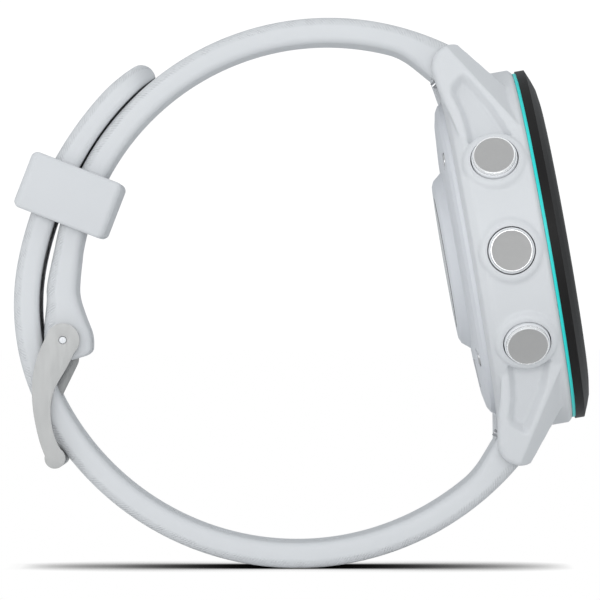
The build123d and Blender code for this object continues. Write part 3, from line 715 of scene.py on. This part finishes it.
def buildHoleStrap():
    start, angle = lugPairs(lowerLoop, lowerPin, -1)
    pairs = start + arcPairs(lowerLoop, angle, lowerLoop["end"])
    half = strapLook["thick"] / 2
    total = sum(bend * math.radians(turn) for _, bend, _, turn in tailRuns())
    count = round(total / strapLook["step"])
    for index in range(1, count + 1):
        length = index / count * total
        point, angle = tailPlace(length)
        inner = onCircle(point, -half, angle)
        pairs.append((onCircle(point, half, angle), clearOfStrap(inner) if length > lowerLoop["thinFrom"] else inner))
    tip, angle = tailPlace(total)
    ahead = onCircle((0, 0), 1, angle - 90)
    for share in (0.3, 0.55, 0.75, 0.88, 0.96, 0.995):
        reach = half * math.sqrt(1 - share ** 2)
        spot = tip + ahead * share * half
        pairs.append((onCircle(spot, reach, angle), clearOfStrap(onCircle(spot, -reach, angle))))
    middles = [(o + i) / 2 for o, i in pairs]
    toEnd = [0.0]
    for a, b in zip(reversed(middles[1:]), reversed(middles[:-1])):
        toEnd.append(toEnd[-1] + (a - b).length)
    toEnd.reverse()
    widths = []
    for middle, left in zip(middles, toEnd):
        share = min(1.0, left / lowerLoop["tipLength"])
        widths.append(bandWidth(middle.x, lowerPin) * max(0.12, math.sqrt(1 - (1 - share) ** 2.4)))
    bm = sweepBand(dict(strapLook, crown=lowerLoop["crown"]), pairs, widths)
    piece = finishMesh("hole_strap_skin", bm, "hole_strap", [silicone])
    cutters = [rod(strapLook["bore"], 12, lowerPin), leverCut(-1, lowerPin)]
    for index in range(-lowerLoop["toLug"], lowerLoop["toTip"] + 1):
        cutters.append(holeCutter(lowerLoop["tongueHole"] + index * lowerLoop["holePitch"]))
    carve(piece, cutters)
    piece.data.set_sharp_from_angle(angle=math.radians(38))
    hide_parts("hole_strap")
    print("hole strap:", len(piece.data.polygons), "faces")


buildBuckleStrap()
buildHoleStrap()


# keeper, buckle and pin: the CAD shapes with softened edges
def softCopy(node, name, body, materials, width, segments=4, angle=30, edgeMaterial=-1):
    bm = bmesh.new()
    bm.from_mesh(nodes[node].data)
    bmesh.ops.remove_doubles(bm, verts=bm.verts, dist=0.002 * mm)
    bmesh.ops.dissolve_limit(bm, angle_limit=math.radians(0.6), verts=bm.verts, edges=bm.edges)
    softened(bm, width, segments, angle, edgeMaterial)
    piece = finishMesh(name, bm, body, materials, 50)
    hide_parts(node)
    print(name + ":", len(piece.data.polygons), "faces")
    return piece


softCopy("strap_keeper", "keeper_loop", "keeper", [keeperSilicone], 0.35, 4, 45)
# the buckle frame's bevel faces take the polished steel: real polish plus a painted highlight on its edges
softCopy("buckle_frame", "buckle_frame_satin", "buckle_frame", [satinSteel, polishedEdgePaintedHighlight], 0.42, 5, 40, 1)
softCopy("buckle_tongue", "buckle_tongue_satin", "buckle_tongue", [satinSteel], 0.25, 4, 40)
softCopy("buckle_pin", "buckle_pin_head", "buckle_strap", [capWall], 0.08, 3, 40)

# view, floor and light
view = {"distance": 900, "aimX": 4.0, "aimZ": -1.0, "lens": 461.0}
studio = {"floorSize": 8.0, "floorDrop": 0.05, "shadeReach": 0.013, "shadeDepth": 2.0, "fill": 0.62}


def makeCamera():
    data = bpy.data.cameras.new("camera")
    data.lens = view["lens"]
    data.clip_start = 0.05
    data.clip_end = 20
    camera = bpy.data.objects.new("camera", data)
    bpy.context.scene.collection.objects.link(camera)
    camera.location = (view["aimX"] * mm, -view["distance"] * mm, view["aimZ"] * mm)
    camera.rotation_euler = (math.radians(90), 0, 0)
    bpy.context.scene.camera = camera


def makeLight(name, size, power, spot, aim=(0, 0, 0), colour=(1, 1, 1)):
    data = bpy.data.lights.new(name, "AREA")
    data.shape = "RECTANGLE"
    data.size, data.size_y = size
    data.energy = power
    data.color = colour
    light = bpy.data.objects.new(name, data)
    bpy.context.scene.collection.objects.link(light)
    light.location = spot
    light.rotation_euler = (Vector(aim) - Vector(spot)).to_track_quat("-Z", "Y").to_euler()


def makeFloor():
    bm = bmesh.new()
    bmesh.ops.create_grid(bm, x_segments=1, y_segments=1, size=studio["floorSize"] / 2)
    level = cadLow.z - studio["floorDrop"] * mm
    bmesh.ops.translate(bm, verts=bm.verts, vec=(0, 0, level))
    mesh = bpy.data.meshes.new("floor")
    bm.to_mesh(mesh)
    bm.free()
    material, tree, shader = newMaterial("pale floor", (0.9, 0.9, 0.9), 0.8)
    # camera rays see the floor as an evenly white emission darkened by ambient occlusion: a painted contact shadow
    # under the watch; other rays see the plain diffuse floor
    shade = tree.nodes.new("ShaderNodeAmbientOcclusion")
    shade.samples = 24
    shade.inputs["Distance"].default_value = studio["shadeReach"]
    deepen = tree.nodes.new("ShaderNodeMath")
    deepen.operation = "POWER"
    deepen.inputs[1].default_value = studio["shadeDepth"]
    tree.links.new(shade.outputs["AO"], deepen.inputs[0])
    glow = tree.nodes.new("ShaderNodeEmission")
    tree.links.new(deepen.outputs[0], glow.inputs["Strength"])
    path = tree.nodes.new("ShaderNodeLightPath")
    mix = tree.nodes.new("ShaderNodeMixShader")
    tree.links.new(path.outputs["Is Camera Ray"], mix.inputs["Fac"])
    tree.links.new(shader.outputs["BSDF"], mix.inputs[1])
    tree.links.new(glow.outputs["Emission"], mix.inputs[2])
    tree.links.new(mix.outputs["Shader"], tree.nodes["Material Output"].inputs["Surface"])
    mesh.materials.append(material)
    floor = bpy.data.objects.new("floor", mesh)
    bpy.context.scene.collection.objects.link(floor)


def makeWorld():
    world = bpy.data.worlds.new("studio")
    world.use_nodes = True
    tree = world.node_tree
    seen = tree.nodes["Background"]
    seen.inputs["Color"].default_value = (1, 1, 1, 1)
    seen.inputs["Strength"].default_value = 1.05
    fill = tree.nodes.new("ShaderNodeBackground")
    fill.inputs["Color"].default_value = (0.93, 0.97, 1.0, 1)
    fill.inputs["Strength"].default_value = studio["fill"]
    path = tree.nodes.new("ShaderNodeLightPath")
    mix = tree.nodes.new("ShaderNodeMixShader")
    tree.links.new(path.outputs["Is Camera Ray"], mix.inputs["Fac"])
    tree.links.new(fill.outputs["Background"], mix.inputs[1])
    tree.links.new(seen.outputs["Background"], mix.inputs[2])
    tree.links.new(mix.outputs["Shader"], tree.nodes["World Output"].inputs["Surface"])
    bpy.context.scene.world = world


makeCamera()
makeFloor()
makeWorld()
makeLight("overhead", (0.5, 0.5), 0.4, (0.05, -0.1, 0.5))
makeLight("front", (0.6, 0.5), 3.0, (-0.1, -0.75, 0.02))
makeLight("left", (0.4, 0.5), 0.55, (-0.5, -0.2, 0.05))
makeLight("right", (0.3, 0.5), 0.3, (0.55, -0.25, 0.1))
bpy.context.scene.view_settings.view_transform = "Standard"
